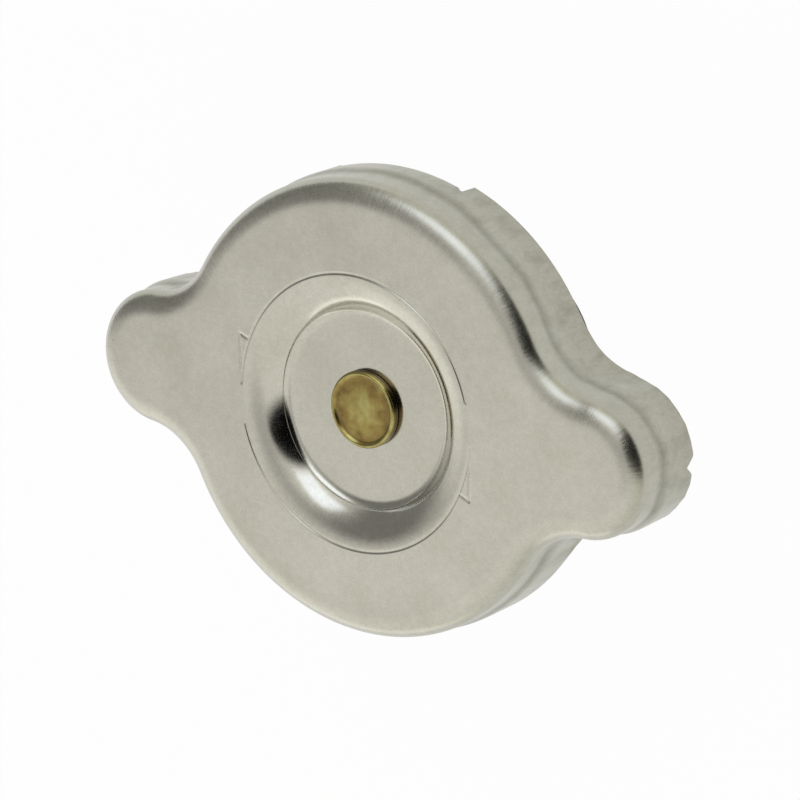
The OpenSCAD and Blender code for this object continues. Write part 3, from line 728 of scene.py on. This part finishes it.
def grown(name, start_mesh, tree, sockets, sizes, sharp=50):
    """Plain mesh that a Geometry Nodes tree makes from a start mesh and its named sizes."""
    seed = bpy.data.objects.new(name + "_seed", start_mesh)
    bpy.context.scene.collection.objects.link(seed)
    maker = seed.modifiers.new("maker", "NODES")
    maker.node_group = tree
    for label, value in sizes.items():
        maker[sockets[label]] = value
    bpy.context.view_layer.update()
    mesh = bpy.data.meshes.new_from_object(seed.evaluated_get(bpy.context.evaluated_depsgraph_get()))
    seed.modifiers.remove(maker)
    bpy.data.objects.remove(seed)
    shape = bmesh.new()
    shape.from_mesh(mesh)
    bmesh.ops.remove_doubles(shape, verts=shape.verts, dist=1e-7)
    bmesh.ops.recalc_face_normals(shape, faces=shape.faces)
    shape.to_mesh(mesh)
    shape.free()
    mesh.polygons.foreach_set("use_smooth", [True] * len(mesh.polygons))
    mesh.set_sharp_from_angle(angle=math.radians(sharp))
    piece = bpy.data.objects.new(name, mesh)
    bpy.context.scene.collection.objects.link(piece)
    return piece


# Drawn and oil-tempered wire: a dark blue-grey metal, scaled in spots under 1 mm, with a fine grain.
wire_steel, tree, shader, mm = finish_named("oil_tempered_spring_wire", 1.0)
scale_marks = add(tree, "ShaderNodeTexNoise", {"Vector": mm, "Scale": 1 / 0.8, "Detail": 5.0})
fine = add(tree, "ShaderNodeTexNoise", {"Vector": mm, "Scale": 1 / 0.15, "Detail": 3.0})
shade = add(tree, "ShaderNodeValToRGB", {"Fac": scale_marks},
            stops=[(0.3, "#77787a"), (0.55, "#96979a"), (0.75, "#abacad")])
gloss = add(tree, "ShaderNodeMapRange", {"Value": fine, "To Min": 0.22, "To Max": 0.42})
height = add(tree, "ShaderNodeMath", {0: fine, 1: 0.004}, operation="MULTIPLY")
surface(tree, shader, shade, gloss, height)

coil, coil_sockets = coil_tree()
spring_h = seat_under - flange_top
pressure_coil = grown("pressure_coil", bpy.data.meshes.new("coil_start"), coil, coil_sockets, {
    "Radius": 0.0111, "Wire": 0.00199, "Height": spring_h / 1000, "Foot": flange_top / 1000,
    "Turns": 6.5, "Points": 6 * 64 + 33, "Sides": 20, "Finish": wire_steel,
})
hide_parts("pressure_spring")
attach(pressure_coil, "carrier")
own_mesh(pressure_coil)


# Valve plate: pressed brass disc, crimped down around the gasket, with a hole for the stem and a ring
# of flow holes for the air or coolant that the vacuum valve lets back in.
def hole_tree():
    """Geometry Nodes tree that drills a ring of holes through a mesh."""
    tree, sockets, given = sized_tree("flow_hole_ring", (
        ("Holes", "Int"), ("Ring", "Float"), ("Hole", "Float"), ("Level", "Float"), ("Depth", "Float"),
        ("Finish", "Material"),
    ))
    places = add(tree, "GeometryNodeMeshCircle", {"Vertices": given["Holes"], "Radius": given["Ring"]})
    drill = add(tree, "GeometryNodeMeshCylinder",
                {"Vertices": 40, "Radius": given["Hole"], "Depth": given["Depth"]})
    drills = add(tree, "GeometryNodeInstanceOnPoints", {"Points": places, "Instance": drill})
    raised = add(tree, "ShaderNodeCombineXYZ", {"Z": given["Level"]})
    lifted = add(tree, "GeometryNodeTranslateInstances",
                 {"Instances": drills, "Translation": raised, "Local Space": False})
    tools = add(tree, "GeometryNodeRealizeInstances", {"Geometry": lifted})
    cut = add(tree, "GeometryNodeMeshBoolean", {0: given["Geometry"], 1: tools}, operation="DIFFERENCE",
              solver="EXACT")
    single = add(tree, "GeometryNodeRealizeInstances", {"Geometry": cut})
    coated = add(tree, "GeometryNodeSetMaterial", {"Geometry": single, "Material": given["Finish"]})
    add(tree, "NodeGroupOutput", {"Geometry": coated})
    return tree, sockets


# Clean brass: pale yellow, burnished by the die, with a light brown bloom in patches of 2.5 mm.
clean_brass, tree, shader, mm = finish_named("pressed_brass", 1.0)
bloom = add(tree, "ShaderNodeTexNoise", {"Vector": mm, "Scale": 1 / 2.5, "Detail": 5.0})
fine = add(tree, "ShaderNodeTexNoise", {"Vector": mm, "Scale": 1 / 0.2, "Detail": 3.0})
shade = add(tree, "ShaderNodeValToRGB", {"Fac": bloom},
            stops=[(0.3, "#a48c4d"), (0.55, "#c2aa66"), (0.75, "#d0bb7c")])
gloss = add(tree, "ShaderNodeMapRange", {"Value": fine, "To Min": 0.2, "To Max": 0.38})
height = add(tree, "ShaderNodeMath", {0: fine, 1: 0.004}, operation="MULTIPLY")
surface(tree, shader, shade, gloss, height)

PLATE_T, STEM_R, STEM_GAP = 0.7, 1.2, 0.08
plate_r, plate_low, plate_top = extent("valve_plate")
plate_under = plate_top - PLATE_T
blank = turned("plate_blank", rounded([
    (STEM_R + STEM_GAP, plate_under), (plate_r - PLATE_T, plate_under, BEND_R),
    (plate_r - PLATE_T, plate_low, 0.1), (plate_r, plate_low, 0.1),
    (plate_r, plate_top, BEND_R + PLATE_T), (STEM_R + STEM_GAP, plate_top),
]), clean_brass)
blank_mesh = blank.data
bpy.data.objects.remove(blank)
drilled, drilled_sockets = hole_tree()
plate = grown("valve_backing_plate", blank_mesh, drilled, drilled_sockets, {
    "Holes": 6, "Ring": 0.0035, "Hole": 0.0009, "Level": (plate_under + PLATE_T / 2) / 1000,
    "Depth": 0.003, "Finish": clean_brass,
})
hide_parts("valve_plate")
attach(plate, "pressure_valve")

# Gasket: moulded nitrile rubber, held by the valve plate. Its thick outer land seals on the seat in the
# neck, and its thin inner land is what the vacuum disc closes against.
BEAD_TOP, GASKET_SEAT_R, SEAT_CHAMFER, RECESS_R, BORE_R, LAND = 1.4, 13.4, 0.45, 9.4, 5.6, 1.6
gasket_r, gasket_low, gasket_top = extent("gasket")

# Black rubber with the mould's matt grain, about 0.2 mm, and a grey bloom in patches of 1.5 mm.
rubber, tree, shader, mm = finish_named("moulded_nitrile_rubber", 0.0)
bloom = add(tree, "ShaderNodeTexNoise", {"Vector": mm, "Scale": 1 / 1.5, "Detail": 5.0})
skin_grain = add(tree, "ShaderNodeTexNoise", {"Vector": mm, "Scale": 1 / 0.2, "Detail": 4.0})
shade = add(tree, "ShaderNodeValToRGB", {"Fac": bloom},
            stops=[(0.3, "#1d1c1a"), (0.55, "#2b2a27"), (0.8, "#3a3935")])
gloss = add(tree, "ShaderNodeMapRange", {"Value": skin_grain, "To Min": 0.48, "To Max": 0.7})
height = add(tree, "ShaderNodeMath", {0: skin_grain, 1: 0.015}, operation="MULTIPLY")
surface(tree, shader, shade, gloss, height)

gasket = turned("rubber_gasket", rounded([
    (RECESS_R, gasket_low, 0.3), (gasket_r, gasket_low, 0.4), (gasket_r, BEAD_TOP, 0.25),
    (GASKET_SEAT_R, BEAD_TOP), (GASKET_SEAT_R, gasket_top - SEAT_CHAMFER, 0.1),
    (GASKET_SEAT_R - SEAT_CHAMFER, gasket_top, 0.1), (BORE_R, gasket_top, 0.2),
    (BORE_R, LAND, 0.2), (RECESS_R, LAND, 0.2),
]), rubber)
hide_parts("gasket")
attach(gasket, "pressure_valve")

# Vacuum valve: a brass disc under the gasket on a stem through the valve plate. A light spring between
# the plate and the keeper washer at the stem's top holds the disc shut.
STEM_HEAD_R, STEM_HEAD_H, VACUUM_OPEN = 2.1, 0.45, 1.5
disc_r, disc_under, disc_top = extent("vacuum_disc")
vacuum_disc = turned("vacuum_valve_disc", rounded([
    (STEM_R, disc_under), (disc_r, disc_under, 0.3), (disc_r, disc_top, 0.1), (STEM_R, disc_top),
]), clean_brass)
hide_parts("vacuum_disc")
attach(vacuum_disc, "vacuum_valve")

_, stem_low, stem_high = extent("vacuum_stem")
stem = turned("vacuum_pin", rounded([
    (0, stem_high), (STEM_HEAD_R, stem_high, 0.3), (STEM_HEAD_R, stem_high - STEM_HEAD_H, 0.08),
    (STEM_R, stem_high - STEM_HEAD_H), (STEM_R, disc_under), (STEM_HEAD_R, disc_under, 0.08),
    (STEM_HEAD_R, stem_low, 0.3), (0, stem_low),
]), clean_brass, 64)
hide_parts("vacuum_stem")
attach(stem, "vacuum_valve")

keeper_r, keeper_under, keeper_top = extent("vacuum_keeper")
keeper = turned("keeper_washer", rounded([
    (STEM_R, keeper_under), (keeper_r, keeper_under, 0.12), (keeper_r, keeper_top, 0.12),
    (STEM_R, keeper_top),
]), clean_brass, 80)
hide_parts("vacuum_keeper")
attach(keeper, "vacuum_valve")

vacuum_h = keeper_under - plate_top
vacuum_coil = grown("vacuum_coil", bpy.data.meshes.new("coil_start"), coil, coil_sockets, {
    "Radius": 0.0022, "Wire": 0.00059, "Height": vacuum_h / 1000, "Foot": plate_top / 1000,
    "Turns": 5.0, "Points": 5 * 48 + 1, "Sides": 12, "Finish": wire_steel,
})
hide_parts("vacuum_spring")
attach(vacuum_coil, "pressure_valve")
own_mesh(vacuum_coil)

# Studio: a white paper floor under the cap, a tent of white cloth around it, and a camera at the
# photograph's viewing angle. The floor is clear from below, so that the underside can be seen.
scene = bpy.context.scene
scene.view_settings.view_transform = "Standard"
FLOOR_Z, FLOOR_HALF, FLOOR_GLOW = -0.0002, 3.0, 0.97

paper = bpy.data.materials.new("white_paper_floor")
paper.use_nodes = True
tree = paper.node_tree
tree.nodes.clear()
matt = add(tree, "ShaderNodeBsdfDiffuse", {"Color": colour("#f4f4f2")})
glow = add(tree, "ShaderNodeEmission", {"Color": (1, 1, 1, 1), "Strength": 1.0})
path = add(tree, "ShaderNodeLightPath").outputs
seen = add(tree, "ShaderNodeMath", {0: path["Is Camera Ray"], 1: path["Is Glossy Ray"]},
           operation="MAXIMUM")
seen = add(tree, "ShaderNodeMath", {0: seen, 1: path["Is Transmission Ray"]}, operation="MAXIMUM")
share = add(tree, "ShaderNodeMath", {0: seen, 1: FLOOR_GLOW}, operation="MULTIPLY")
both = add(tree, "ShaderNodeMixShader", {0: share, 1: matt, 2: glow})
from_below = add(tree, "ShaderNodeNewGeometry").outputs["Backfacing"]
clear = add(tree, "ShaderNodeBsdfTransparent")
one_sided = add(tree, "ShaderNodeMixShader", {0: from_below, 1: both, 2: clear})
add(tree, "ShaderNodeOutputMaterial", {"Surface": one_sided})
floor_mesh = bpy.data.meshes.new("floor")
floor_corners = [(x * FLOOR_HALF, y * FLOOR_HALF, FLOOR_Z)
                 for x, y in ((-1, -1), (1, -1), (1, 1), (-1, 1))]
floor_mesh.from_pydata(floor_corners, [], [(0, 1, 2, 3)])
floor_mesh.materials.append(paper)
floor = bpy.data.objects.new("floor", floor_mesh)
scene.collection.objects.link(floor)

world = bpy.data.worlds.new("studio_tent")
scene.world = world
world.use_nodes = True
tree = world.node_tree
tree.nodes.clear()
sky = add(tree, "ShaderNodeTexCoord").outputs["Generated"]


def towards(azimuth, elevation):
    """Direction of a place in the tent, from its angles in degrees."""
    a, e = math.radians(azimuth), math.radians(elevation)
    return Vector((math.cos(e) * math.cos(a), math.cos(e) * math.sin(a), math.sin(e)))


def panel(corners, soft):
    """Share of a panel of the tent, given the azimuth and elevation of its corners in order, and the
    angle over which its edges fade."""
    spots = [towards(*corner) for corner in corners]
    centre = sum(spots, Vector())
    inside = 1.0
    for a, b in zip(spots, spots[1:] + spots[:1]):
        facing = a.cross(b).normalized()
        facing *= math.copysign(1, facing @ centre)
        off = add(tree, "ShaderNodeVectorMath", {0: sky, 1: facing}, operation="DOT_PRODUCT")
        edge = math.sin(math.radians(soft))
        side = add(tree, "ShaderNodeMapRange",
                   {"Value": off.outputs["Value"], "From Min": -edge, "From Max": edge},
                   interpolation_type="SMOOTHSTEP")
        inside = add(tree, "ShaderNodeMath", {0: inside, 1: side}, operation="MULTIPLY")
    return inside


# The tent is dim at its crown, open towards the camera and in a gap at the left end of the cap. A lamp
# shines through its side, and the cloth is brighter low down at the back.
CLOTH, LAMP = 0.88, 0.85
level = CLOTH
for dark, soft, corners in (
    (0.40, 14, ((45, 66), (135, 66), (225, 66), (315, 66))),
    (1.00, 7, ((-10, 74), (36, 74), (62, 32), (58, 4), (-10, 4))),
    (0.72, 18, ((120, 64), (194, 64), (194, -8), (120, -8))),
):
    shut = add(tree, "ShaderNodeMath", {0: panel(corners, soft), 1: -dark, 2: 1.0},
               operation="MULTIPLY_ADD")
    level = add(tree, "ShaderNodeMath", {0: level, 1: shut}, operation="MULTIPLY")
lamp = panel(((64, 56), (117, 56), (117, 27), (66, 27)), 6)
level = add(tree, "ShaderNodeMath", {0: lamp, 1: LAMP, 2: level}, operation="MULTIPLY_ADD")
for extra, soft, corners in (
    (0.2, 10, ((182, 30), (232, 30), (232, -4), (182, -4))),
    (0.5, 5, ((225, 10), (270, 10), (270, -4), (225, -4))),
):
    level = add(tree, "ShaderNodeMath", {0: panel(corners, soft), 1: extra, 2: level},
                operation="MULTIPLY_ADD")
path = add(tree, "ShaderNodeLightPath")
plain = add(tree, "ShaderNodeMix", {"Factor": path.outputs["Is Camera Ray"], "A": level, "B": 1.0})
tint = add(tree, "ShaderNodeMix", {0: lamp, 6: colour("#fffef4"), 7: colour("#f2f8ff")},
           data_type="RGBA").outputs[2]
tint = add(tree, "ShaderNodeMix", {0: path.outputs["Is Camera Ray"], 6: tint, 7: (1, 1, 1, 1)},
           data_type="RGBA")
light = add(tree, "ShaderNodeBackground", {"Color": tint.outputs[2], "Strength": plain})
add(tree, "ShaderNodeOutputWorld", {"Surface": light})

camera_data = bpy.data.cameras.new("camera")
camera_data.lens = 153.36
camera_data.sensor_width = 36.0
camera_data.clip_start = 0.01
camera_data.clip_end = 20.0
camera = bpy.data.objects.new("camera", camera_data)
scene.collection.objects.link(camera)
right = Vector((0.79873971, 0.02497634, -0.60115809))
up = Vector((-0.20502643, 0.95063892, -0.2329159))
back = Vector((0.56566689, 0.30929247, 0.76443387))
turn = Matrix((right, up, back)).transposed().to_4x4()
camera.matrix_world = Matrix.Translation((0.244486, 0.133080, 0.353206)) @ turn
scene.camera = camera
